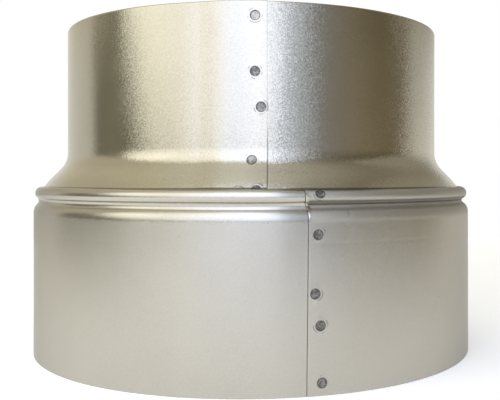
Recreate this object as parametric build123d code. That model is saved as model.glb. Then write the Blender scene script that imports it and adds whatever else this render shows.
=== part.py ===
"""A stove pipe increaser in aluminised sheet steel: a small collar that flares out into a wider one.

Each collar is one sheet, rolled into a ring and spot welded along a plain lap. The flared edge of the
small collar is locked into the bead that is curled round the top edge of the large one. The frame has
its origin at the middle of the bottom rim and +Z up the pipe. The two lap seams are at the front,
which is -Y. Sizes are in millimetres and degrees.
"""

import math
import os

from build123d import *

# Sheet
SHEET = 0.6                      # thickness of the aluminised steel
SEAM_GAP = 0.15                  # hairline between the two leaves of a lap
FOLD_CLEARANCE = 0.1             # between the flare and the bead that is curled over it

# Collars
OVERALL_HEIGHT = 128.0
SOCKET_BORE = 152.0              # inside diameter of the small collar
SPIGOT_DIAMETER = 179.6          # outside diameter of the large collar

# Flare of the small collar
FLARE_ANGLE = 43.0               # away from the pipe's axis
FLARE_BEND_RADIUS = 8.0          # inner face of the bend between collar and flare

# Bead, neck and shoulder of the large collar
BEAD_HEIGHT = 63.6               # centre of the bead above the bottom rim
BEAD_ROOM = 0.75                 # space left in the bead beside a doubled flare
BEAD_SETBACK = 0.75              # of the bead inside the spigot's outside
NECK_DEPTH = 1.8                 # of the groove under the bead
NECK_RADIUS = 0.8
SHOULDER_RADIUS = 3.0

# Lap seams. Azimuth 0 is the front, and it grows to the right as seen from the front.
LAP_WIDTH = 14.0
JOGGLE_LENGTH = 10.0             # over which a sheet steps from one leaf to the other
JOGGLE_STEPS = 6                 # stages of that S
SMALL_EDGE_AZIMUTH = 6.1         # the small collar's outer leaf ends here and lies to the left of it
LARGE_EDGE_AZIMUTH = 13.4        # the large collar's outer leaf ends here and lies to the right of it

# Spot welds. Each is placed by its distance in from the outer leaf's edge, and then by its distance
# from its own collar's open rim. The one on the bend takes its angle round the bend instead, those on
# the flare their distance down the slope past the lip of the bead, and the one on the bead its angle
# above level.
WELD_MARK = 3.3                  # diameter of the flat mark that each electrode leaves
WELD_DEPTH = 0.12                # of that mark
WELD_NUGGET = 2.4                # diameter of the fused metal between the leaves
WELD_SIDES = 8                   # flats round a mark or a nugget
SMALL_WELDS = [(4.4, 5.2), (4.2, 23.6), (2.4, 34.8)]
BEND_WELD = (5.4, 21.0)
FLARE_WELDS = [(3.2, 1.1), (9.2, 2.0)]
LARGE_WELDS = [(3.6, 51.7), (2.6, 32.5), (4.2, 22.4), (4.9, 4.2)]
BEAD_WELD = (4.4, 17.0)

# Straight runs that each rolled curve is drawn in. A run stays within 0.13 mm of its arc.
BEND_STEPS = 3
SHOULDER_STEPS = 2
NECK_STEPS = 3
BEAD_STEPS = 6

# Sizes that follow from those above
socket_radius = SOCKET_BORE / 2
spigot_radius = SPIGOT_DIAMETER / 2
leaf_step = SHEET + SEAM_GAP
lap_depth = leaf_step + SHEET
bead_inner = lap_depth + BEAD_ROOM
bead_outer = bead_inner + SHEET
flare = math.radians(FLARE_ANGLE)

# The flare's inner face passes through the centre of the bead.
bead_r = spigot_radius - BEAD_SETBACK - bead_outer
bend_out_r = socket_radius + FLARE_BEND_RADIUS * (1 - math.cos(flare))
cone_length = (bead_r - bend_out_r) / math.sin(flare)
bend_z = BEAD_HEIGHT + cone_length * math.cos(flare) + FLARE_BEND_RADIUS * math.sin(flare)

# The neck's arc touches the bead above it and the shoulder below it.
neck_r = spigot_radius - NECK_DEPTH + NECK_RADIUS
bead_to_neck = bead_outer + NECK_RADIUS
neck_z = BEAD_HEIGHT - math.sqrt(bead_to_neck ** 2 - (neck_r - bead_r) ** 2)
shoulder_r = spigot_radius - SHOULDER_RADIUS
neck_to_shoulder = NECK_RADIUS + SHOULDER_RADIUS
shoulder_z = neck_z - math.sqrt(neck_to_shoulder ** 2 - (neck_r - shoulder_r) ** 2)
shoulder_turn = math.degrees(math.atan2(neck_z - shoulder_z, neck_r - shoulder_r))
neck_turn = math.degrees(math.atan2(BEAD_HEIGHT - neck_z, bead_r - neck_r))

# The flare's edge keeps within this radius of the bead's centre, clear of the bead's inner runs.
bead_turn = FLARE_ANGLE + 180 - neck_turn + math.degrees(math.acos((SHEET + FOLD_CLEARANCE) / bead_inner))
fold_radius = bead_inner * math.cos(math.radians(bead_turn / BEAD_STEPS / 2)) - FOLD_CLEARANCE


def arc_angle(length, radius):
    """Angle taken by an arc of this length at this radius."""
    return math.degrees(length / radius)


def along_flare(distance, offset):
    """Section point at a distance down the flare past the bead's centre, offset out of its inner face."""
    r = bead_r + distance * math.sin(flare) + offset * math.cos(flare)
    z = BEAD_HEIGHT - distance * math.cos(flare) + offset * math.sin(flare)
    return (r, z)


def runs(arc, count):
    """Arc drawn as a number of straight runs between points of it."""
    points = [arc @ (i / count) for i in range(count + 1)]
    return [Line(start, end) for start, end in zip(points, points[1:])]


def small_side(offset):
    """Small collar's section, offset out of its inner face, from the top rim to the flare's edge."""
    wall_r = socket_radius + offset
    bend_r = socket_radius + FLARE_BEND_RADIUS
    bend = CenterArc((bend_r, bend_z), FLARE_BEND_RADIUS - offset, 180, FLARE_ANGLE)
    reach = math.sqrt(fold_radius ** 2 - offset ** 2)
    wall = Line((wall_r, OVERALL_HEIGHT), (wall_r, bend_z))
    cone = Line(bend @ 1, along_flare(reach, offset))
    return [wall, *runs(bend, BEND_STEPS), cone]


def large_side(offset):
    """Large collar's section, offset out of its outer face, from the bottom rim to the lip."""
    wall_r = spigot_radius + offset
    bead_at = bead_outer + offset
    lip_turn = FLARE_ANGLE + math.degrees(math.acos((SHEET + FOLD_CLEARANCE) / bead_at))
    wall = Line((wall_r, 0), (wall_r, shoulder_z))
    shoulder = CenterArc((shoulder_r, shoulder_z), SHOULDER_RADIUS + offset, 0, shoulder_turn)
    neck_sweep = neck_turn - shoulder_turn - 180
    neck = CenterArc((neck_r, neck_z), NECK_RADIUS - offset, shoulder_turn + 180, neck_sweep)
    bead = CenterArc((bead_r, BEAD_HEIGHT), bead_at, neck_turn - 180, lip_turn - neck_turn + 180)
    curves = runs(shoulder, SHOULDER_STEPS) + runs(neck, NECK_STEPS) + runs(bead, BEAD_STEPS)
    return [wall, *curves]


def sheet_section(side, inner, outer):
    """Face of the sheet between two offsets of one collar's section, standing on the plane of X and Z."""
    inside = side(inner)
    outside = side(outer)
    first = Line(inside[0] @ 0, outside[0] @ 0)
    last = Line(inside[-1] @ 1, outside[-1] @ 1)
    return Plane.XZ * make_face(inside + [first, last] + outside)


def ring(section, azimuth, sweep):
    """Section revolved to the right from an azimuth."""
    return revolve(Rot(0, 0, azimuth - 90) * section, Axis.Z, sweep)


def joggle(side, inner, outer, step, azimuth, sweep):
    """Sheet that moves by a step out of its section, as a smooth S, while it turns through a sweep."""
    sections = []
    for i in range(JOGGLE_STEPS + 1):
        u = i / JOGGLE_STEPS
        shift = step * u * u * (3 - 2 * u)
        section = sheet_section(side, inner + shift, outer + shift)
        sections.append(Rot(0, 0, azimuth + sweep * u - 90) * section)
    return loft(sections)


def weld_plug(azimuth, r, z, slope, diameter, depth):
    """Plug to a depth on both sides of a face. The slope is that of the face's normal above level."""
    face = Plane((0, -r, z), z_dir=(0, -math.cos(slope), math.sin(slope)))
    plug = extrude(RegularPolygon(diameter / 2, WELD_SIDES), depth, both=True)
    return Rot(0, 0, azimuth) * (face * plug)


def nugget(azimuth, r, z, slope):
    """Rod of fused metal through both leaves."""
    return weld_plug(azimuth, r, z, slope, WELD_NUGGET, lap_depth)


def mark(azimuth, r, z, slope):
    """Cutter for the mark on one face of a lap."""
    return weld_plug(azimuth, r, z, slope, WELD_MARK, WELD_DEPTH)


# Small collar: its outer leaf steps out over the inner one, which keeps the bore round.
small_outer_r = socket_radius + lap_depth
small_lap = arc_angle(LAP_WIDTH, small_outer_r)
small_joggle = arc_angle(JOGGLE_LENGTH, small_outer_r)
small_lap_start = SMALL_EDGE_AZIMUTH - small_lap
small_joggle_start = small_lap_start - small_joggle

small_wall = ring(sheet_section(small_side, 0, SHEET), small_lap_start, 360 - small_joggle)
small_leaf = ring(sheet_section(small_side, leaf_step, lap_depth), small_lap_start, small_lap)
small_step = joggle(small_side, 0, SHEET, leaf_step, small_joggle_start, small_joggle)
small_middle = sheet_section(small_side, SHEET / 2, lap_depth - SHEET / 2)
small_core = ring(small_middle, small_lap_start, small_lap)

small_rods = []
small_marks = []
for edge_distance, rim_distance in SMALL_WELDS:
    height = OVERALL_HEIGHT - rim_distance
    azimuth = SMALL_EDGE_AZIMUTH - arc_angle(edge_distance, small_outer_r)
    small_rods.append(nugget(azimuth, small_outer_r, height, 0))
    small_marks.append(mark(azimuth, small_outer_r, height, 0))
    small_marks.append(mark(azimuth, socket_radius, height, 0))

bend_radius = FLARE_BEND_RADIUS - lap_depth / 2
bend_turn = math.radians(BEND_WELD[1])
bend_weld_r = socket_radius + FLARE_BEND_RADIUS - bend_radius * math.cos(bend_turn)
bend_weld_z = bend_z - bend_radius * math.sin(bend_turn)
bend_azimuth = SMALL_EDGE_AZIMUTH - arc_angle(BEND_WELD[0], bend_weld_r)
small_rods.append(nugget(bend_azimuth, bend_weld_r, bend_weld_z, bend_turn))

lip_distance = math.sqrt(bead_outer ** 2 - (SHEET + FOLD_CLEARANCE) ** 2)
for edge_distance, past_lip in FLARE_WELDS:
    outer_r, outer_z = along_flare(past_lip - lip_distance, lap_depth)
    inner_r, inner_z = along_flare(past_lip - lip_distance, 0)
    azimuth = SMALL_EDGE_AZIMUTH - arc_angle(edge_distance, outer_r)
    small_rods.append(nugget(azimuth, outer_r, outer_z, flare))
    small_marks.append(mark(azimuth, outer_r, outer_z, flare))
    small_marks.append(mark(azimuth, inner_r, inner_z, flare))

small_nuggets = [small_core & rod for rod in small_rods]
small_collar = small_wall + small_step + small_leaf + small_nuggets - small_marks

# Large collar: its inner leaf steps in under the outer one, which keeps the spigot round.
large_lap = arc_angle(LAP_WIDTH, spigot_radius)
large_joggle = arc_angle(JOGGLE_LENGTH, spigot_radius)
large_joggle_start = LARGE_EDGE_AZIMUTH - large_joggle

large_wall = ring(sheet_section(large_side, -SHEET, 0), LARGE_EDGE_AZIMUTH, 360 - large_joggle)
large_leaf = ring(sheet_section(large_side, -lap_depth, -leaf_step), LARGE_EDGE_AZIMUTH, large_lap)
large_step = joggle(large_side, -SHEET, 0, -leaf_step, large_joggle_start, large_joggle)
large_middle = sheet_section(large_side, SHEET / 2 - lap_depth, -SHEET / 2)
large_core = ring(large_middle, LARGE_EDGE_AZIMUTH, large_lap)

large_rods = []
large_marks = []
for edge_distance, height in LARGE_WELDS:
    azimuth = LARGE_EDGE_AZIMUTH + arc_angle(edge_distance, spigot_radius)
    large_rods.append(nugget(azimuth, spigot_radius, height, 0))
    large_marks.append(mark(azimuth, spigot_radius, height, 0))
    large_marks.append(mark(azimuth, spigot_radius - lap_depth, height, 0))

bead_azimuth = LARGE_EDGE_AZIMUTH + arc_angle(BEAD_WELD[0], spigot_radius)
bead_slope = math.radians(BEAD_WELD[1])
bead_weld_r = bead_r + bead_outer * math.cos(bead_slope)
bead_weld_z = BEAD_HEIGHT + bead_outer * math.sin(bead_slope)
large_rods.append(nugget(bead_azimuth, bead_weld_r, bead_weld_z, bead_slope))
large_marks.append(mark(bead_azimuth, bead_weld_r, bead_weld_z, bead_slope))

large_nuggets = [large_core & rod for rod in large_rods]
large_collar = large_wall + large_step + large_leaf + large_nuggets - large_marks

# Lock seam: the lip is dressed back where it crosses the small collar's lap, and the flare's edge is
# shortened where it meets the large collar's inner leaf.
lip_top = along_flare(-2 * bead_outer, SHEET)
lip_side = along_flare(-2 * bead_outer, lap_depth + FOLD_CLEARANCE)
lip_inner_side = along_flare(0, lap_depth + FOLD_CLEARANCE)
lip_inner_top = along_flare(0, SHEET)
lip_relief = Plane.XZ * make_face(Polyline(lip_top, lip_side, lip_inner_side, lip_inner_top, close=True))
seam_play = arc_angle(FOLD_CLEARANCE, bead_r)
large_collar -= ring(lip_relief, small_joggle_start, small_joggle + small_lap + seam_play)

edge_circle = Pos(bead_r, BEAD_HEIGHT) * Circle(bead_inner)
edge_core = Pos(bead_r, BEAD_HEIGHT) * Circle(fold_radius - leaf_step)
edge_half = Rot(0, 0, FLARE_ANGLE) * Rectangle(4 * bead_inner, 2 * bead_inner)
edge_half = Pos(*along_flare(bead_inner, 0)) * edge_half
edge_relief = Plane.XZ * ((edge_circle - edge_core) & edge_half)
small_collar -= ring(edge_relief, large_joggle_start, large_joggle + large_lap + seam_play)

small_collar.label = "small_collar"
large_collar.label = "large_collar"

os.makedirs("parts", exist_ok=True)
export_step(small_collar, "parts/small_collar.step")
export_step(large_collar, "parts/large_collar.step")
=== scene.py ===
# %% [markdown]
# # A stove pipe increaser in aluminised sheet
# The real part is two collars of thin steel sheet. Each sheet is rolled into a ring, its two ends are
# lapped at the front, and a column of spot welds holds the lap. The small collar flares out below, and
# the large collar's top edge is curled over that flare as a bead, which locks the two together.
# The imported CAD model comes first. It is the frame that every piece sits in, so its box is kept here.

# %% Load the frame
import math

import bpy
import numpy as np
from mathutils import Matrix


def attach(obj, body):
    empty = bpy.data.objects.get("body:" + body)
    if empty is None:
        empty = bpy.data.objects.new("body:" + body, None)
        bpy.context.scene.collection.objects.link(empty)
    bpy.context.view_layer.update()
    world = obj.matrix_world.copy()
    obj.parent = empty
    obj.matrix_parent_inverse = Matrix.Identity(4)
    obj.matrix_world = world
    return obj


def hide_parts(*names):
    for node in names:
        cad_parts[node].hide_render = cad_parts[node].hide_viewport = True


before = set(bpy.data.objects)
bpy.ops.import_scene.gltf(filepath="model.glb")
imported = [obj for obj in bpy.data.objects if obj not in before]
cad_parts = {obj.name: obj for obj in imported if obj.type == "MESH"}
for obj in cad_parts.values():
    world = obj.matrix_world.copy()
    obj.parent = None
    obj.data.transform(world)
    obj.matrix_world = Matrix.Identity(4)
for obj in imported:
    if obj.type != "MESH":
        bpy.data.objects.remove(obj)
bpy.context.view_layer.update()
print("CAD nodes:", sorted(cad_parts))

# %% [markdown]
# ## Sizes
# A sheet part is easiest to change when each size is written once, in millimetres and degrees. They
# are the sizes of the CAD model, apart from the flare, bead, neck and shoulder. Those are fitted closer
# to the photograph, which moves the surface by a millimetre at most, because polished metal shows every
# change of slope. What follows is worked out, so that the flare runs through the middle of the bead,
# and bead, neck and shoulder touch each other without a kink.

# %% Sizes of the two collars
MM = 0.001
SHEET = 0.6
SEAM_GAP = 0.15
FOLD_CLEARANCE = 0.1
HEIGHT = 128.0
SOCKET_R = 76.0
SPIGOT_R = 89.8
FLARE = math.radians(41.0)
BEND_RADIUS = 10.0
BEAD_Z = 63.35
BEAD_ROOM = 0.5
BEAD_SETBACK = 0.6
NECK_DEPTH = 1.9
NECK_RADIUS = 1.75
SHOULDER_RADIUS = 4.3
LAP_WIDTH = 14.0
JOGGLE_LENGTH = 10.0

leaf_step = SHEET + SEAM_GAP
lap_depth = leaf_step + SHEET
bead_inner = lap_depth + BEAD_ROOM
bead_outer = bead_inner + SHEET
bead_r = SPIGOT_R - BEAD_SETBACK - bead_outer
cone_length = (bead_r - SOCKET_R - BEND_RADIUS * (1 - math.cos(FLARE))) / math.sin(FLARE)
bend_z = BEAD_Z + cone_length * math.cos(FLARE) + BEND_RADIUS * math.sin(FLARE)
neck_r = SPIGOT_R - NECK_DEPTH + NECK_RADIUS
bead_to_neck = bead_outer + NECK_RADIUS
neck_z = BEAD_Z - math.sqrt(bead_to_neck ** 2 - (neck_r - bead_r) ** 2)
neck_to_shoulder = NECK_RADIUS + SHOULDER_RADIUS
shoulder_r = SPIGOT_R - SHOULDER_RADIUS
shoulder_z = neck_z - math.sqrt(neck_to_shoulder ** 2 - (neck_r - shoulder_r) ** 2)
shoulder_turn = math.atan2(neck_z - shoulder_z, neck_r - shoulder_r)
neck_turn = math.atan2(BEAD_Z - neck_z, bead_r - neck_r)
print(f"bend at {bend_z:.2f}, neck at {neck_z:.2f}, shoulder at {shoulder_z:.2f} mm")

# %% [markdown]
# ## Sections
# A collar could be spun from a drawn profile, but a spun ring has no lap. A section written as a
# function of an offset is more use: the sheet's two faces, and the step from one leaf of the lap to
# the other, are then the same function with other offsets, and the sheet keeps its thickness.

# %% Section of the small collar
def small_section(v, offset, reach):
    """Radius and height at v, offset out of the inner face.

    v from 0 to 1 goes straight down the wall, from 1 to 2 it turns by the flare's angle round a centre
    outside the wall, and from 2 to 3 it slides down the flare to a reach past the bead's centre.
    """
    wall = np.clip(v, 0, 1) * (HEIGHT - bend_z)
    turn = np.clip(v - 1, 0, 1) * FLARE
    slide = np.clip(v - 2, 0, 1) * (cone_length + reach)
    arm = BEND_RADIUS - offset
    r = SOCKET_R + BEND_RADIUS - arm * np.cos(turn) + slide * math.sin(FLARE)
    z = HEIGHT - wall - arm * np.sin(turn) - slide * math.cos(FLARE)
    return r, z


def small_length(v):
    """Distance along the small collar's sheet from the top rim to v."""
    wall = np.clip(v, 0, 1) * (HEIGHT - bend_z)
    bend = np.clip(v - 1, 0, 1) * (BEND_RADIUS - SHEET) * FLARE
    return wall + bend + np.clip(v - 2, 0, 1) * (cone_length + bead_inner)


print(f"small sheet is {small_length(3.0):.1f} mm wide along its section")

# %% Section of the large collar
def large_section(v, offset, lip_gap):
    """Radius and height at v, offset out of the outer face.

    v from 0 to 1 goes straight up the wall. Then come three arcs that touch: from 1 to 2 the shoulder,
    from 2 to 3 the neck, which turns the other way, and from 3 to 4 the bead. The bead stops where its
    arc is a lip gap away from the flare's inner face.
    """
    lip_turn = FLARE + np.arccos(np.clip(lip_gap / (bead_outer + offset), -1, 1))
    on_shoulder = np.clip(v - 1, 0, 1) * shoulder_turn
    on_neck = shoulder_turn + math.pi + np.clip(v - 2, 0, 1) * (neck_turn - shoulder_turn - math.pi)
    on_bead = neck_turn - math.pi + np.clip(v - 3, 0, 1) * (lip_turn - neck_turn + math.pi)
    shoulder_arm = SHOULDER_RADIUS + offset
    neck_arm = NECK_RADIUS - offset
    bead_arm = bead_outer + offset
    where = [v < 1, v < 2, v < 3]
    r = np.select(where, [SPIGOT_R + offset, shoulder_r + shoulder_arm * np.cos(on_shoulder),
                          neck_r + neck_arm * np.cos(on_neck)], bead_r + bead_arm * np.cos(on_bead))
    z = np.select(where, [v * shoulder_z, shoulder_z + shoulder_arm * np.sin(on_shoulder),
                          neck_z + neck_arm * np.sin(on_neck)], BEAD_Z + bead_arm * np.sin(on_bead))
    return r, z


# %% Lengths along the large collar
shoulder_length = SHOULDER_RADIUS * shoulder_turn
neck_length = NECK_RADIUS * (math.pi + shoulder_turn - neck_turn)
bead_start = shoulder_z + shoulder_length + neck_length
waist = shoulder_z + (SHOULDER_RADIUS + NECK_RADIUS) * shoulder_turn


def large_length(v):
    """Distance along the large collar's outer face from the bottom rim to v."""
    shoulder = np.clip(v - 1, 0, 1) * shoulder_length
    neck = np.clip(v - 2, 0, 1) * neck_length
    bead = np.clip(v - 3, 0, 1) * bead_outer * (FLARE + math.pi / 2 + math.pi - neck_turn)
    return np.clip(v, 0, 1) * shoulder_z + shoulder + neck + bead


def bead_length(angle):
    """Distance along the same face to a place on the bead, by its angle in degrees above level."""
    return bead_start + bead_outer * (math.radians(angle) + math.pi - neck_turn)


print(f"large sheet is {large_length(4.0):.1f} mm wide along its section")

# %% [markdown]
# ## Stations
# A grid of equal cells would need far too many of them to show a weld 3.3 mm across. Stations that
# stand close at the welds, edges and bends, and wide apart elsewhere, keep the mesh light.

# %% Stations and smooth steps along a line
def stations(*spans):
    """Numbers from the first span's start to the last one's end. A span is (start, end, step)."""
    rows = [np.linspace(a, b, math.ceil((b - a) / step), endpoint=False) for a, b, step in spans]
    return np.concatenate(rows + [np.array([spans[-1][1]])])


def rise(x, low, high):
    """Smooth step from 0 at low to 1 at high."""
    t = np.clip((x - low) / (high - low), 0, 1)
    return t * t * (3 - 2 * t)


def bump(x, centre, width):
    """Bell of height 1 round a centre."""
    return np.exp(-((x - centre) / width) ** 2)


def arc_angle(length, radius):
    """Angle in degrees of an arc of this length."""
    return math.degrees(length / radius)


print(f"the large lap spans {arc_angle(LAP_WIDTH, SPIGOT_R):.1f} degrees")

# %% [markdown]
# ## Laps and spot welds
# Azimuth 0 is the front and grows to the right. Each sheet runs a little over one whole turn, so its
# two ends lie on each other, and the leaf that has to give way steps aside. A spot weld presses a flat
# round mark into the lap and pushes up a low rim of metal around it. Marks could be sculpted or cut
# with booleans, but as a change of the sheet's offset they follow every bend of the section.

# %% Places of the laps and welds
SMALL_EDGE = 6.1
LARGE_EDGE = 13.4
SMALL_WELDS = [(4.15, 5.0), (4.15, 23.45), (2.15, 35.2)]
LARGE_WELDS = [(3.15, 51.4), (2.35, 32.6), (4.2, 22.4), (4.9, 4.2)]
BEND_WELD_ANGLE = 28.5
BEAD_WELD_ANGLE = 32.0

small_outer_r = SOCKET_R + lap_depth
small_lap = SMALL_EDGE - arc_angle(LAP_WIDTH, small_outer_r)
small_joggle = small_lap - arc_angle(JOGGLE_LENGTH, small_outer_r)
large_lap = LARGE_EDGE + arc_angle(LAP_WIDTH, SPIGOT_R)
large_joggle = LARGE_EDGE - arc_angle(JOGGLE_LENGTH, SPIGOT_R)

wall_depth = HEIGHT - bend_z
bend_arm = BEND_RADIUS - SHEET
to_lip = cone_length - math.sqrt(bead_outer ** 2 - (SHEET + FOLD_CLEARANCE) ** 2)
on_bend = wall_depth + bend_arm * math.sin(math.radians(BEND_WELD_ANGLE))
lip_depth = wall_depth + bend_arm * math.sin(FLARE) + to_lip * math.cos(FLARE)

# Each weld is (distance from the lap's edge, distance from the rim). The second goes straight down on
# the small collar and along the sheet on the large one. The first is turned into an azimuth here.
small_marks = SMALL_WELDS + [(5.15, on_bend), (3.2, lip_depth + 1.2), (8.9, lip_depth + 2.2)]
small_marks = [(SMALL_EDGE - arc_angle(d, small_outer_r), s) for d, s in small_marks]
large_marks = LARGE_WELDS + [(4.95, bead_length(BEAD_WELD_ANGLE))]
large_marks = [(LARGE_EDGE + arc_angle(d, SPIGOT_R), s) for d, s in large_marks]
print(len(small_marks), "welds on the small collar,", len(large_marks), "on the large one")

# %% Weld marks as a change of offset
def weld_distance(azimuth, length, radius, marks):
    """Distance in millimetres to the nearest weld: arc and distance from the rim, by Pythagoras."""
    far = np.full(np.broadcast(azimuth, length).shape, 99.0)
    for weld_azimuth, weld_length in marks:
        turn = (azimuth - weld_azimuth + 180) % 360 - 180
        far = np.minimum(far, np.hypot(np.radians(turn) * radius, length - weld_length))
    return far


def weld_press(distance):
    """Depth of a mark: a flat floor, a steep side, then a low rim pushed up around it."""
    floor = -0.12 * (1 - rise(distance, 1.3, 1.7))
    return floor + 0.04 * bump(distance, 1.95, 0.22)


print(f"a weld is pressed {-weld_press(0.0):.2f} mm deep")

# %% Edges, waves and lip of a sheet
SHEARED_WIDTH = 0.45


def sheared(distance, drop):
    """Drop of the face at a cut edge, which the shear rounds over: a narrow parabola."""
    return -drop * np.clip(1 - distance / SHEARED_WIDTH, 0, 1) ** 2


def waves(azimuth, length):
    """Out-of-round of a hand-rolled ring: four slow waves with whole turns, so that it closes."""
    a = np.radians(azimuth)
    return (0.10 * np.sin(3 * a + 0.6) + 0.05 * np.sin(7 * a + 0.03 * length)
            + 0.025 * np.sin(13 * a - 0.05 * length + 1.0) + 0.012 * np.sin(29 * a + 0.11 * length))


def lip_height(turns):
    """Gap that the lip keeps above the flare's inner face: a leaf's step more over the small lap."""
    turn = (turns + 180) % 360 - 180
    over_lap = rise(turn, small_joggle, small_lap) * (1 - rise(turn, SMALL_EDGE, 13.0))
    return SHEET + FOLD_CLEARANCE + leaf_step * over_lap + 0.04 * np.sin(np.radians(11 * turn) + 1)


print(f"the lip stands {lip_height(0.0):.2f} mm high over the lap, {lip_height(180.0):.2f} mm behind")

# %% [markdown]
# ## From arrays to a mesh
# A Solidify modifier could thicken one face, but then a weld couldn't bulge on one side and dip on the
# other. So both faces of a sheet are grids with the same rows and columns, azimuth by place on the
# section. A strip along each rim and a strip at each end close them into one solid skin.

# %% Quads and points
def strip(a, b):
    """Quads between two rows of vertex numbers, in the order that faces their left-hand side."""
    return np.stack([a[:-1], a[1:], b[1:], b[:-1]], axis=1)


def grid(numbers):
    """Quads of a grid of vertex numbers, facing the side where rows go right and columns go up."""
    quads = np.stack([numbers[:-1, :-1], numbers[1:, :-1], numbers[1:, 1:], numbers[:-1, 1:]], axis=-1)
    return quads.reshape(-1, 4)


def round_pipe(azimuth, r, z):
    """Points at radius r and height z, turned by an azimuth from the front about the pipe's axis."""
    a = np.radians(azimuth)
    return np.stack(np.broadcast_arrays(r * np.sin(a), -r * np.cos(a), z), axis=-1) * MM


print("a quarter turn to the right of the front:", round_pipe(90.0, SPIGOT_R, 0.0).round(4))

# %% Mesh of a sheet
SHARP_ANGLE = math.radians(40)


def sheet_piece(name, outer, inner, attributes):
    """Closed mesh of a sheet from the points of its outer and inner faces, columns going up."""
    numbers = np.arange(outer.shape[0] * outer.shape[1]).reshape(outer.shape[:2])
    back = numbers + numbers.size
    quads = [grid(numbers), grid(back)[:, ::-1], strip(back[:, 0], numbers[:, 0]),
             strip(numbers[:, -1], back[:, -1]), strip(numbers[0], back[0]), strip(back[-1], numbers[-1])]
    quads = np.concatenate(quads)
    points = np.concatenate([outer.reshape(-1, 3), inner.reshape(-1, 3)])
    mesh = bpy.data.meshes.new(name)
    mesh.vertices.add(len(points))
    mesh.vertices.foreach_set("co", points.astype(np.float32).ravel())
    mesh.loops.add(quads.size)
    mesh.loops.foreach_set("vertex_index", quads.astype(np.int32).ravel())
    mesh.polygons.add(len(quads))
    mesh.polygons.foreach_set("loop_start", np.arange(0, quads.size, 4, dtype=np.int32))
    mesh.update(calc_edges=True)
    mesh.validate()
    mesh.shade_smooth()
    mesh.set_sharp_from_angle(angle=SHARP_ANGLE)
    for key, pair in attributes.items():
        values = np.concatenate([np.broadcast_to(p, numbers.shape).ravel() for p in pair])
        layer = mesh.attributes.new(key, "FLOAT", "POINT")
        layer.data.foreach_set("value", values.astype(np.float32))
    piece = bpy.data.objects.new(name, mesh)
    bpy.context.scene.collection.objects.link(piece)
    print(f"{name}: {len(points)} points, {2 * len(quads)} triangles")
    return piece


# %% [markdown]
# ## Small collar
# Its outer leaf steps out over the inner one, so the bore stays round for the pipe that is pushed in.
# The sheet could be made flat and bent by a modifier, but with the azimuth as a parameter the lap is
# exact: the sheet starts under the lap, goes once round, steps out in a smooth S and ends at the edge
# seen left of the large seam. The electrodes pressed from the front, so a mark is round as seen from
# there, also on the bend: it is measured by height. Where the large collar's inner leaf takes room in
# the bead, the flare's edge is shorter.

# %% Stations of the small collar
def small_stations():
    """Azimuths and places on the section, close together at welds, edges and the bend."""
    turns = stations((small_lap, 5.7, 0.2), (5.7, 6.7, 0.05), (6.7, 348.2, 1.6), (348.2, 355.7, 0.5),
                     (355.7, 365.7, 0.2), (365.7, 360 + SMALL_EDGE, 0.05))
    down = stations((0, 0.5, 0.1), (0.5, 3.0, 0.8), (3.0, 7.4, 0.29), (7.4, 21.4, 2.0),
                    (21.4, 25.8, 0.29), (25.8, 33.0, 1.8), (33.0, 37.4, 0.29), (37.4, wall_depth, 1.5))
    bend = stations((1, 2, 0.05))
    flare_width = cone_length + bead_inner
    flare = stations((0, 8.4, 0.9), (8.4, 14.2, 0.3), (14.2, flare_width, 0.7)) / flare_width
    places = np.concatenate([down / wall_depth, bend[1:], 2 + flare[1:]])
    return turns[:, None], places[None, :]


turns, places = small_stations()
print(turns.size, "by", places.size, "stations on the small collar")

# %% Offsets of the small collar
def edge_lean(places):
    """Turn of the lap's edge on the flare, which was cut upright and not towards the axis."""
    r, _ = small_section(places, lap_depth, 0.0)
    upright = np.arcsin(small_outer_r * math.sin(math.radians(SMALL_EDGE)) / r)
    return np.degrees(upright) - SMALL_EDGE


def small_offsets(turns, places):
    """Offset of the outer and inner faces, and the distances that the finish needs.

    A face is the round wall plus the leaf's step, waves, welds and a flare that bows out a little
    between bend and bead. Shade and some dirt are painted beside the lower half of the edge.
    """
    length = small_length(places)
    bow = 0.3 * np.sin(math.pi * np.clip(places - 2, 0, 1)) ** 2
    step = rise(turns, 360 + small_joggle, 360 + small_lap)
    shift = leaf_step * step + waves(turns, length) + bow
    _, height = small_section(places, SHEET, bead_inner)
    welds = weld_distance(turns, HEIGHT - height, small_outer_r, small_marks)
    on_top = turns > 180
    edge = np.radians(360 + SMALL_EDGE - turns) * small_outer_r
    pressed = np.where(on_top, weld_press(welds), 0)
    outer = SHEET + shift + pressed + sheared(edge, 0.02) + sheared(length, 0.2)
    inner = shift - np.where(on_top, 0, weld_press(welds))
    past_edge = np.radians(turns - SMALL_EDGE - edge_lean(places)) * SOCKET_R
    beside = np.abs(np.where(on_top, edge + 0.15, past_edge))
    return outer, inner, welds, beside + 0.38 * (1 - rise(length, 36, 48))


outer, inner, welds, beside = small_offsets(turns, places)
print(f"outer face {outer.min():.2f} to {outer.max():.2f} mm out of the bore's section")

# %% Small collar as a sheet
in_fold = rise(turns, large_joggle, LARGE_EDGE) * (1 - rise(turns, large_lap, large_lap + 1))
room = bead_inner - 2 * FOLD_CLEARANCE - leaf_step * in_fold
outer_reach = np.sqrt(np.clip(room ** 2 - lap_depth ** 2, 0, None) + 0.05)
lean = edge_lean(places) * rise(turns, 357, 360 + SMALL_EDGE)
outer_points = round_pipe(turns + lean, *small_section(places, outer, outer_reach))
inner_points = round_pipe(turns + lean, *small_section(places, inner, room))
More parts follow.
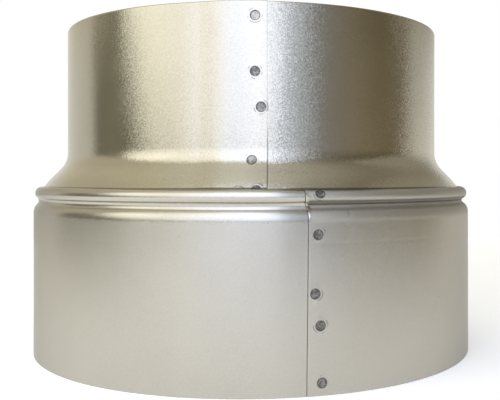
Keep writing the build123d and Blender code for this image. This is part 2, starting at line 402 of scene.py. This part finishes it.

# Shade and some dirt are painted along the lip too, and the welds are burnt darkest in the middle of the
# column.
past_lip = np.clip(places - 2, 0, 1) * (cone_length + outer_reach) - cone_length
past_lip = past_lip + np.sqrt(bead_outer ** 2 - lip_height(turns) ** 2)
beside = np.minimum(beside, 0.5 * np.abs(past_lip + 0.15))
length = small_length(places)
flare_start = small_length(2.0)
burn = 0.5 + 0.4 * rise(length, 10, 18) - 0.15 * rise(length, 40, 46)
burn = burn + 0.25 * rise(length, flare_start, flare_start + to_lip)
small = sheet_piece("small_collar_sheet", outer_points[:, ::-1], inner_points[:, ::-1],
                    {"weld": (welds[:, ::-1], welds[:, ::-1]), "beside": (beside[:, ::-1], 9.0),
                     "burn": (burn[:, ::-1], burn[:, ::-1])})

# %% [markdown]
# ## Large collar
# Here the inner leaf steps in instead, so the spigot stays round for the pipe that is pushed over it.
# Most of that step is hidden under the outer leaf's edge, which is thinned to a scarf, so the seam is a
# fine line that leans a little. A separate ring could stand for the bead, but one section with arcs
# that touch keeps the sheet in one piece. The lip rides over the small collar's lap and springs back
# slowly past that lap's edge, which leaves a dark slit. Right of the seam the groove under the bead is
# deeper, with shade and some dirt painted in it, and past the end of the hidden leaf the outer one has
# sunk into a short crease, along which shade is painted too.

# %% Stations of the large collar
def large_stations():
    """Azimuths and places on the section, close together at welds, edges and curves."""
    turns = stations((LARGE_EDGE, LARGE_EDGE + 0.4, 0.05), (LARGE_EDGE + 0.4, 24.0, 0.2),
                     (24.0, 345.0, 1.8), (345.0, 367.0, 0.8), (367.0, 372.8, 0.4), (372.8, 373.6, 0.05),
                     (373.6, 360 + large_lap, 0.25))
    up = stations((0, 0.5, 0.1), (0.5, 2.0, 0.5), (2.0, 6.4, 0.29), (6.4, 20.2, 2.3), (20.2, 24.6, 0.29),
                  (24.6, 30.3, 1.9), (30.3, 34.7, 0.29), (34.7, 47.2, 2.1), (47.2, 53.9, 0.29),
                  (53.9, shoulder_z, 0.4))
    curves = stations((1, 2, 0.12), (2, 3, 0.1), (3, 4, 0.036))
    return turns[:, None], np.concatenate([up / shoulder_z, curves[1:]])[None, :]


turns, places = large_stations()
print(turns.size, "by", places.size, "stations on the large collar")

# %% Marks beside the large seam
def past_seam(turns):
    """1 right of the large seam, fading to 0 a third of the way round."""
    return rise(turns, LARGE_EDGE, LARGE_EDGE + 1) * (1 - rise(turns, 80, 120))


def inner_leaf_step(turns):
    """Share of its step that the inner leaf has taken: a slope, a dip at the edge, a drop under it."""
    edge = 360 + LARGE_EDGE
    slope = rise(turns, 360 + large_joggle, edge)
    dip = rise(turns, edge - 0.2, edge)
    drop = rise(turns, edge - 0.03, edge + 0.2)
    return 0.3 * slope + 0.1 * dip + 0.6 * drop


def large_dents(edge, length):
    """Marks of the curling tool, and the distance from the crease past the hidden leaf's end.

    A fold crosses the bead aslant from the lap's edge, and the outer leaf sinks in past the inner one.
    """
    across = (edge - (bead_length(22.0) - length)) / math.sqrt(2)
    fold = 0.1 * bump(across, 0, 0.35) * (1 - rise(edge, 1.4, 2.4))
    past_leaf = edge - LAP_WIDTH - 0.5
    up_shoulder = length - shoulder_z - 2.8
    sink = -0.06 * bump(past_leaf, 0, 0.7) * bump(up_shoulder, 0, 1.8)
    along = np.maximum(np.abs(up_shoulder) - 1.1, 0)
    # The second value is the distance from that crease, along which shade and some dirt are painted.
    return fold + sink, 0.24 + 0.25 * np.hypot(past_leaf, along)


print(f"the groove is deeper over {past_seam(np.arange(0, 360)).sum():.0f} degrees right of the seam")

# %% Offsets of the large collar
def large_offsets(turns, places):
    """Offset of the outer and inner faces, and the distances that the finish needs.

    A face is the round wall plus the leaf's step, waves, welds and the marks beside the seam. A roller
    has left a faint line round the wall, and the edge of the lap is chipped on the shoulder.
    """
    length = large_length(places)
    deeper = -0.6 * past_seam(turns) * bump(length, waist, 0.8)
    line = -0.008 * bump(length, 48.4, 0.5)
    shift = -leaf_step * inner_leaf_step(turns) + waves(turns + 40, length) + deeper + line
    welds = weld_distance(turns, length, SPIGOT_R, large_marks)
    on_top = turns < 180
    edge = np.radians(turns - LARGE_EDGE) * SPIGOT_R
    pressed, from_crease = large_dents(edge, length)
    chip = -0.12 * np.clip(1 - edge / SHEARED_WIDTH, 0, 1) * bump(length, shoulder_z + 1.6, 0.5)
    scarf = 0.4 * np.clip(1 - edge / 0.4, 0, 1)
    outer = shift + np.where(on_top, weld_press(welds) + pressed + chip, 0)
    outer = outer + sheared(edge, 0.03) + sheared(length, 0.2)
    inner = shift - SHEET + np.where(on_top, pressed + scarf, -weld_press(welds))
    # Distance from the seam's edge and from the crease: shade and some dirt are painted along them.
    before_edge = np.abs(np.radians(360 + LARGE_EDGE - turns) * SPIGOT_R)
    beside = np.where(on_top, np.minimum(edge + 0.35, from_crease), before_edge + 0.35)
    return outer, inner, welds, beside


outer, inner, welds, beside = large_offsets(turns, places)
print(f"outer face {outer.min():.2f} to {outer.max():.2f} mm from its section")

# %% Large collar as a sheet
seam_lean = (0.14 + 0.4 * np.clip(places, 0, 1)) * (1 - rise(places, 2, 3))
lean = seam_lean * (1 - rise(turns, LARGE_EDGE + 6, 26.0) + rise(turns, 360, 360 + LARGE_EDGE - 1))
outer_points = round_pipe(turns + lean, *large_section(places, outer, lip_height(turns)))
inner_points = round_pipe(turns + lean, *large_section(places, inner, lip_height(turns)))

# Right of the seam shade and some dirt are painted in both grooves and under the lip; the curls aren't
# burnished.
length = large_length(places)
from_groove = np.minimum(np.abs(length - bead_start - 0.5), np.abs(length - waist - 0.5))
from_lip = 0.5 * np.maximum(bead_length(85.0) - length, 0) + np.maximum(turns - 25, 0) / 15
from_groove = np.minimum(from_groove, from_lip)
beside = np.minimum(beside, 0.1 + 0.3 * from_groove + 0.35 * (1 - past_seam(turns)))
burnish = rise(length, 54.6, 56.4) * (1 - 3.0 * past_seam(turns))
large = sheet_piece("large_collar_sheet", outer_points, inner_points,
                    {"weld": (welds, welds), "beside": (beside, 9.0), "burn": (0.9, 0.9),
                     "burnish": (burnish, 0.0)})

# %% [markdown]
# ## Fasten the pieces
# Nothing moves on the real part, so both sheets belong to one body.

# %% Fasten the pieces to the frame
for piece, node, slot in ((small, "small_collar", "small_sheet"), (large, "large_collar", "large_sheet")):
    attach(piece, "root")
    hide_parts(node)
    print(piece.name, "stands for", node)

# %% [markdown]
# ## Shader maths
# Node trees grow hard to read when every node is placed by hand. A small class that wraps one socket
# lets a mask be written as an expression, and one method makes every other kind of node.

# %% A socket that does maths
class Value:
    """Output socket of a node tree, with Python's operators as Math nodes."""

    def __init__(self, tree, socket):
        self.tree = tree
        self.socket = socket

    def node(self, kind, settings, sockets, output=0):
        """New node: its settings are set first, then its sockets get values or links."""
        made = self.tree.nodes.new(kind)
        for name, value in settings.items():
            if name == "stops":
                ramp = made.color_ramp.elements
                for extra in value[2:]:
                    ramp.new(extra[0])
                for element, (position, colour) in zip(ramp, value):
                    element.position, element.color = position, (*colour, 1)
            else:
                setattr(made, name, value)
        for key, value in sockets.items():
            if isinstance(value, Value):
                self.tree.links.new(value.socket, made.inputs[key])
            else:
                made.inputs[key].default_value = value
        return Value(self.tree, made.outputs[output])

    def math(self, operation, a, b):
        return self.node("ShaderNodeMath", {"operation": operation}, {0: a, 1: b})

    def vector(self, operation, sockets):
        return self.node("ShaderNodeVectorMath", {"operation": operation}, sockets)

    def __add__(self, other):
        return self.math("ADD", self, other)

    def __radd__(self, other):
        return self.math("ADD", other, self)

    def __sub__(self, other):
        return self.math("SUBTRACT", self, other)

    def __rsub__(self, other):
        return self.math("SUBTRACT", other, self)

    def __mul__(self, other):
        return self.math("MULTIPLY", self, other)

    def __rmul__(self, other):
        return self.math("MULTIPLY", other, self)

    def up_to(self, limit):
        """This value, but a limit where it is more."""
        return self.math("MINIMUM", self, limit)

    def between(self, low, high):
        """Smooth step from 0 at low to 1 at high."""
        limits = {"Value": self, "From Min": low, "From Max": high}
        return self.node("ShaderNodeMapRange", {"interpolation_type": "SMOOTHSTEP"}, limits)

    def ring(self, centre, width):
        """1 at a centre, fading to 0 a width away on both sides."""
        away = self.math("ABSOLUTE", self - centre, 0)
        return 1 - away.between(0, width)

    def mix(self, low, high):
        """Colour that goes from low to high as this value goes from 0 to 1."""
        return self.node("ShaderNodeMix", {"data_type": "RGBA"}, {0: self, 6: low, 7: high}, output=2)


def noise(place, scale, detail, output=0):
    """Noise over a place, with this many grains to the metre, as a value or as a colour."""
    sockets = {"Vector": place, "Scale": scale, "Detail": detail}
    return place.node("ShaderNodeTexNoise", {}, sockets, output)


# %% [markdown]
# ## Aluminised steel
# The sheet has been dipped in an aluminium alloy, which freezes as a fine spangle: grains of about half
# a millimetre, each tilted a little from the next, so reflections break up into speckle at their edges.
# Grain could be a height in a Bump node, but that looks hammered. Tilting the surface's own normal by
# a noise colour gives each grain a facet of its own. The photograph shows it more strongly right of the
# small seam, so the tilt grows there. Welds are burnt dark grey, and some have part of a dark ring.

# %% Tilt of the spangle
SPANGLE = 2000


def spangled_normal(place, grain):
    """The surface's normal plus a random tilt of up to half a grain for each spangle."""
    tilts = noise(place, SPANGLE, 0, "Color")
    tilts = tilts.vector("SUBTRACT", {0: tilts, 1: (0.5, 0.5, 0.5)})
    across = place.node("ShaderNodeSeparateXYZ", {}, {0: place})
    strength = grain * (0.6 + 0.5 * across.between(0.002, 0.012))
    tilts = tilts.vector("SCALE", {0: tilts, "Scale": strength})
    normal = place.node("ShaderNodeNewGeometry", {}, {}, output="Normal")
    facet = tilts.vector("ADD", {0: tilts, 1: normal})
    return facet.vector("NORMALIZE", {0: facet})


# %% Finish of a sheet
BURNT_DARK, BURNT_PALE = (0.045, 0.043, 0.039, 1), (0.24, 0.235, 0.215, 1)
RIM_COLOUR, RING_COLOUR = (0.035, 0.034, 0.03, 1), (0.08, 0.077, 0.07, 1)
# Colour of painted shade, with some dirt, for seams, grooves, the crease and under the lip.
SHADE_AND_DIRT_COLOUR = (0.06, 0.05, 0.035, 1)


def aluminised(name, colour, gloss, bead_gloss, grain, graze):
    """Spangled metal. A gloss is a roughness, grain is how far a spangle's facet tilts, and graze is
    the share of light that the metal still returns where it is seen almost edge-on."""
    material = bpy.data.materials.new(name)
    material.use_nodes = True
    tree = material.node_tree
    shader = tree.nodes["Principled BSDF"]
    place = Value(tree, tree.nodes.new("ShaderNodeTexCoord").outputs["Object"])
    weld, beside, burn, burnish = (place.node("ShaderNodeAttribute", {"attribute_name": key}, {}, output=2)
                                   for key in ("weld", "beside", "burn", "burnish"))
    spangle = noise(place, SPANGLE, 0)
    cloud = noise(place, 45, 3)
    crust = noise(place, 1300, 2)
    patchy = noise(place, 320, 1)

    disc = 1 - weld.between(1.5, 1.75)
    rim = weld.ring(1.6, 0.3)
    outer_ring = weld.ring(2.4, 0.3) * patchy.between(0.5, 0.6)
    # Mask of painted shade, with some dirt, close to seams, grooves, the crease and the lip.
    shade_and_dirt = 1 - beside.between(0.05, 0.4)

    pale = tuple(1.035 * c for c in colour)
    dull = tuple(0.955 * c for c in colour)
    metal = (0.5 * spangle + 0.5 * cloud).between(0.3, 0.7).mix((*dull, 1), (*pale, 1))
    burnt = crust.between(0.4, 0.62).mix(BURNT_DARK, BURNT_PALE)
    metal = (0.9 * disc * burn).mix(metal, burnt)
    metal = (0.75 * rim).mix(metal, RIM_COLOUR)
    metal = (0.6 * outer_ring).mix(metal, RING_COLOUR)
    # Painted shade, with some dirt, darkens the metal there.
    metal = (0.8 * shade_and_dirt).mix(metal, SHADE_AND_DIRT_COLOUR)
    rough = gloss + (bead_gloss - gloss) * burnish + 0.08 * (spangle - 0.5) + 0.10 * (cloud - 0.5)
    rough = rough + 0.25 * disc * burn

    crusty = {"Height": 0.04 * disc * burn * crust, "Distance": MM, "Strength": 1.0,
              "Normal": spangled_normal(place, grain)}
    facet = place.node("ShaderNodeBump", {}, crusty)
    for socket, value in (("Base Color", metal), ("Roughness", rough), ("Normal", facet)):
        tree.links.new(value.socket, shader.inputs[socket])
    shader.inputs["Metallic"].default_value = 1.0
    shader.inputs["Specular Tint"].default_value = (graze, graze, graze, 1)
    print(f"{name}: {len(tree.nodes)} nodes")
    return material


# %% Finishes of the two collars
bright = aluminised("aluminised_bright", (0.50, 0.47, 0.39), 0.17, 0.17, 0.20, 1.0)
satin = aluminised("aluminised_satin", (0.50, 0.475, 0.41), 0.32, 0.22, 0.05, 0.66)
small.data.materials.append(bright)
large.data.materials.append(satin)

# %% [markdown]
# ## Surround
# Polished metal shows the room and hardly anything of itself. A lamp alone would give a black pipe
# with one streak. So the part stands inside a big dome whose wall glows softly: a wide window in
# front, cream wall to its left, dark olive at both sides and a beige room behind. The wall is brighter
# above than below in front and at the left, the other way round at the right, and dim close to the
# floor in front. The camera doesn't see the dome, it sees the white world.

# %% Dome that the metal mirrors
DOME_R = 0.6
DOME_TURNS, DOME_LIFTS = 97, 25


def dome_mesh(name, radius):
    """Half ball over the floor: azimuth by elevation, facing inwards."""
    turn = np.radians(np.linspace(-180, 180, DOME_TURNS))[:, None]
    lift = np.radians(np.linspace(0, 90, DOME_LIFTS))[None, :]
    points = np.broadcast_arrays(radius * np.cos(lift) * np.sin(turn),
                                 -radius * np.cos(lift) * np.cos(turn), radius * np.sin(lift))
    numbers = np.arange(DOME_TURNS * DOME_LIFTS).reshape(DOME_TURNS, DOME_LIFTS)
    mesh = bpy.data.meshes.new(name)
    mesh.from_pydata(np.stack(points, axis=-1).reshape(-1, 3).tolist(), [], grid(numbers)[:, ::-1].tolist())
    mesh.update()
    return mesh


dome = bpy.data.objects.new("surround", dome_mesh("surround", DOME_R))
bpy.context.scene.collection.objects.link(dome)
dome.visible_camera = False
print("surround of", len(dome.data.polygons), "faces")

# %% Colours of the room
def wall_stops():
    """Colours round the room, by azimuth from the back through the left to the front and on."""
    room = [(-180, (0.88, 0.87, 0.81)), (-104, (0.78, 0.76, 0.69)), (-95, (0.255, 0.245, 0.185)),
            (-75, (0.30, 0.285, 0.21)), (-59, (1.42, 1.41, 1.27)), (-49, (1.54, 1.53, 1.40)),
            (-37, (1.57, 1.56, 1.49)), (-26, (1.80, 1.84, 1.99)), (-4, (1.86, 2.02, 2.58)),
            (6, (2.14, 2.28, 2.76)), (14, (1.62, 1.79, 2.26)), (22, (0.90, 1.01, 1.27)),
            (40, (0.34, 0.34, 0.345)), (59, (0.31, 0.27, 0.20)), (82, (0.22, 0.18, 0.105)),
            (95, (0.26, 0.23, 0.165)), (108, (0.67, 0.65, 0.60)), (124, (0.74, 0.72, 0.67)),
            (180, (0.88, 0.87, 0.81))]
    return [((azimuth + 180) / 360, colour) for azimuth, colour in room]


def ceiling_stops():
    """Colours overhead, from the left to the right, by the share of the dome's width."""
    return [(0.15, (0.70, 0.64, 0.50)), (0.25, (0.82, 0.77, 0.59)), (0.47, (1.06, 1.08, 1.03)),
            (0.58, (0.73, 0.72, 0.67)), (0.65, (0.55, 0.53, 0.465)), (0.78, (0.30, 0.27, 0.20)),
            (0.84, (0.42, 0.39, 0.32))]


print(len(wall_stops()), "colours round the room,", len(ceiling_stops()), "overhead")

# %% Glow of the room
MID_LIFT = 0.27

glow = bpy.data.materials.new("surround_glow")
glow.use_nodes = True
tree = glow.node_tree
tree.nodes.clear()
place = Value(tree, tree.nodes.new("ShaderNodeTexCoord").outputs["Object"])
across, depth, up = (place.node("ShaderNodeSeparateXYZ", {}, {0: place}, output=i) for i in range(3))
azimuth = across.math("ARCTAN2", across, 0 - depth) * (0.5 / math.pi) + 0.5
side = across * (0.5 / DOME_R) + 0.5
lift = up * (1 / DOME_R)
front = depth.math("MAXIMUM", depth * (-1 / DOME_R), 0)
left = (0.25 - side).between(0, 0.1) * front.between(0.05, 0.3)
right = (side - 0.72).between(0, 0.1)

azimuth = azimuth + 0.15 * left * (lift.up_to(0.6) - MID_LIFT)
wall = azimuth.node("ShaderNodeValToRGB", {"stops": wall_stops()}, {"Fac": azimuth})
ceiling = side.node("ShaderNodeValToRGB", {"stops": ceiling_stops()}, {"Fac": side})
tilt = 0.5 * front.between(0.2, 0.7) + 0.8 * left - 1.2 * right
near_floor = front.between(0, 0.12) * (1 - lift.between(0, 0.15))
level = 1 + tilt * (lift.up_to(0.55) - MID_LIFT) - 0.7 * near_floor
wall = wall.vector("SCALE", {0: wall, "Scale": level})
above = (lift - 0.9 * front).between(MID_LIFT, 0.52 + 0.5 * front)
paint = above.mix(wall, ceiling)

emission = tree.nodes.new("ShaderNodeEmission")
tree.links.new(paint.socket, emission.inputs["Color"])
emission.inputs["Strength"].default_value = 1.0
output = tree.nodes.new("ShaderNodeOutputMaterial")
tree.links.new(emission.outputs[0], output.inputs["Surface"])
dome.data.materials.append(glow)
print("surround_glow:", len(tree.nodes), "nodes")

# %% [markdown]
# ## Floor and world
# The floor is pale paper as wide as the dome, and takes a soft shadow under the dome's light. The
# background of the picture is white. Stronger light would do that, but it would bleach the metal too.
# So the world shows white to the eye, and the floor adds a little light of its own to what the eye and
# the metal see, which leaves only the shadow grey.

# %% Floor
turn = np.radians(np.arange(0, 360, 3.75))
rim = np.stack([DOME_R * np.cos(turn), DOME_R * np.sin(turn), 0 * turn], axis=1)
floor_mesh = bpy.data.meshes.new("floor")
floor_mesh.from_pydata(rim.tolist(), [], [tuple(range(len(rim)))])
floor = bpy.data.objects.new("floor", floor_mesh)
bpy.context.scene.collection.objects.link(floor)

paper = bpy.data.materials.new("pale_floor")
paper.use_nodes = True
shader = paper.node_tree.nodes["Principled BSDF"]
shader.inputs["Base Color"].default_value = (0.88, 0.88, 0.88, 1)
shader.inputs["Roughness"].default_value = 0.9
shader.inputs["Specular IOR Level"].default_value = 0.0
shader.inputs["Emission Strength"].default_value = 0.36
light = paper.node_tree.nodes.new("ShaderNodeLightPath")
eye, gloss, through = (Value(paper.node_tree, light.outputs[n]) for n in
                       ("Is Camera Ray", "Is Glossy Ray", "Is Transmission Ray"))
paper.node_tree.links.new((eye + gloss + through).socket, shader.inputs["Emission Color"])
floor_mesh.materials.append(paper)
print(f"floor {2 * DOME_R:.1f} m across")

# %% World
world = bpy.data.worlds.new("white_world")
bpy.context.scene.world = world
world.use_nodes = True
world.node_tree.nodes["Background"].inputs["Color"].default_value = (1, 1, 1, 1)
world.node_tree.nodes["Background"].inputs["Strength"].default_value = 1.0
print("world:", world.name)

# %% [markdown]
# ## Camera
# The eye is close to the part, a third of a metre from its axis and just above half its height. That
# is why the two rims curve opposite ways. Its place could be found by trial, but it comes from a fit of
# the rims, the bead and the side lines. It looks level, so upright edges stay upright, and a small
# shift frames the part as the photograph does.

# %% Camera
FOCAL_PX, CENTRE_X, CENTRE_Y = 769.05, 288.59, 176.33
FRAME_W, FRAME_H = 500, 400
camera = bpy.data.cameras.new("camera")
camera.sensor_width = 36
camera.lens = FOCAL_PX / FRAME_W * camera.sensor_width
camera.shift_x = (FRAME_W / 2 - CENTRE_X) / FRAME_W
camera.shift_y = (CENTRE_Y - FRAME_H / 2) / FRAME_W
camera.clip_start = 0.01
camera_object = bpy.data.objects.new("camera", camera)
camera_object.location = (0.015142, -0.33058, 0.06991)
camera_object.rotation_euler = (math.pi / 2, 0, 0)
bpy.context.scene.collection.objects.link(camera_object)
bpy.context.scene.camera = camera_object
bpy.context.scene.view_settings.view_transform = "Standard"
print(f"lens {camera.lens:.1f} mm, shift {camera.shift_x:.3f}, {camera.shift_y:.3f}")
